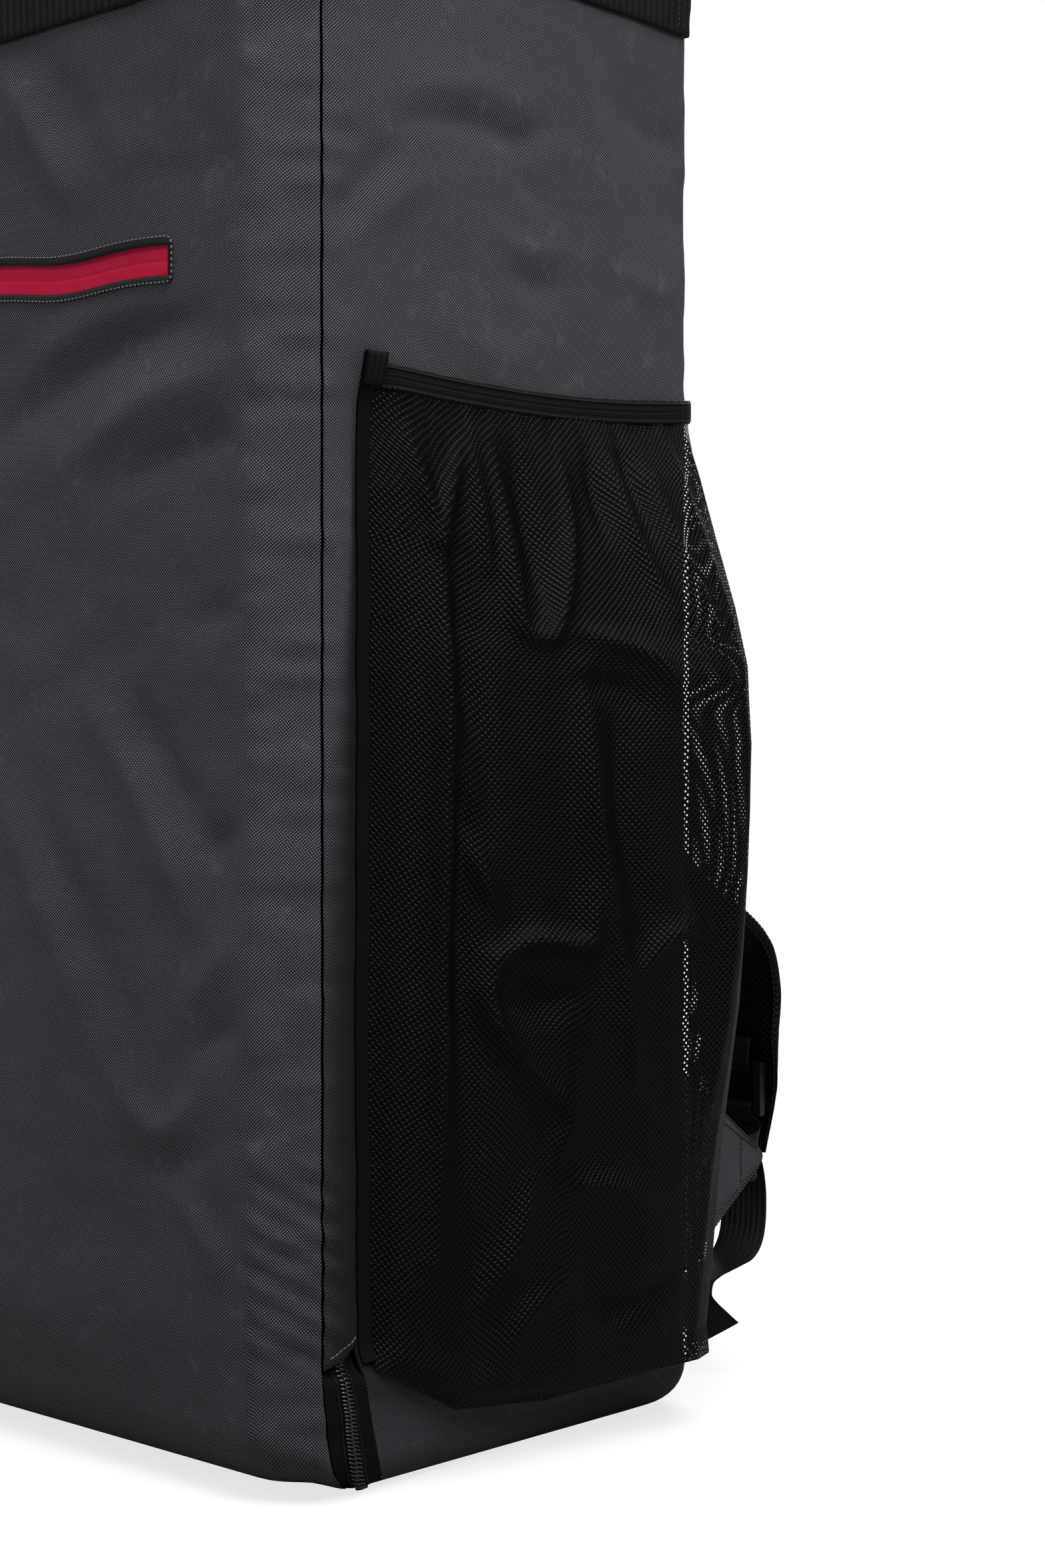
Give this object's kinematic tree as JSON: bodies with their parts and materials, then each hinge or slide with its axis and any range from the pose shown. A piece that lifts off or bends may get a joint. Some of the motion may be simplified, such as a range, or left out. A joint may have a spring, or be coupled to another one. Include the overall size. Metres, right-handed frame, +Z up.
{
  "type": "kayak carry backpack",
  "caption": "Tall boxy carry backpack of grey coated weave with corner zips under cover strips, a red front pocket zip, a black mesh side pocket and padded shoulder straps.",
  "frame": {"origin": "middle of the flat underside that the bag stands on", "axes": "+Z up the bag, -Y out of its front panel, +X to the side with the mesh pocket"},
  "size_m": [0.6285, 0.4824, 0.9689],
  "materials": {
    "grey_weave": "plain coated weave with a faint sheen",
    "black_webbing": "ribbed webbing and tape",
    "black_mesh": "open knitted mesh",
    "black_plastic": "moulded, slightly glossy",
    "red_zip_tape": "smooth coated tape"
  },
  "bodies": {
    "root": {"front_panel": "grey_weave", "back_panel": "grey_weave", "top_panel": "grey_weave", "bottom_panel": "grey_weave", "side_panel_right": "grey_weave", "side_panel_left": "grey_weave", "zip_flap_top": "grey_weave", "zip_flap_right": "grey_weave", "zip_flap_left": "grey_weave", "anchor_tab_right": "grey_weave", "anchor_tab_left": "grey_weave", "pocket_zip_frame": "grey_weave", "pocket_zip_tape": "red_zip_tape", "pocket_zip_slider": "black_plastic", "main_zip_top_tape": "black_webbing", "main_zip_front_tape_right": "black_webbing", "main_zip_front_tape_left": "black_webbing", "main_zip_side_tape_right": "black_webbing", "main_zip_side_tape_left": "black_webbing", "main_zip_coil_right": "black_plastic", "main_zip_coil_left": "black_plastic", "main_zip_slider_left": "black_plastic", "mesh_pocket": "black_mesh", "pocket_elastic": "black_webbing", "pocket_front_binding": "black_webbing", "compression_strap": "black_webbing", "strap_buckle": "black_plastic", "shoulder_pad_right": "black_mesh", "shoulder_pad_left": "black_mesh", "strap_lock_right": "black_plastic", "strap_lock_left": "black_plastic", "strap_keeper_right": "black_webbing", "strap_keeper_left": "black_webbing", "strap_webbing_right": "black_webbing", "strap_webbing_left": "black_webbing"}
  },
  "joints": []
}
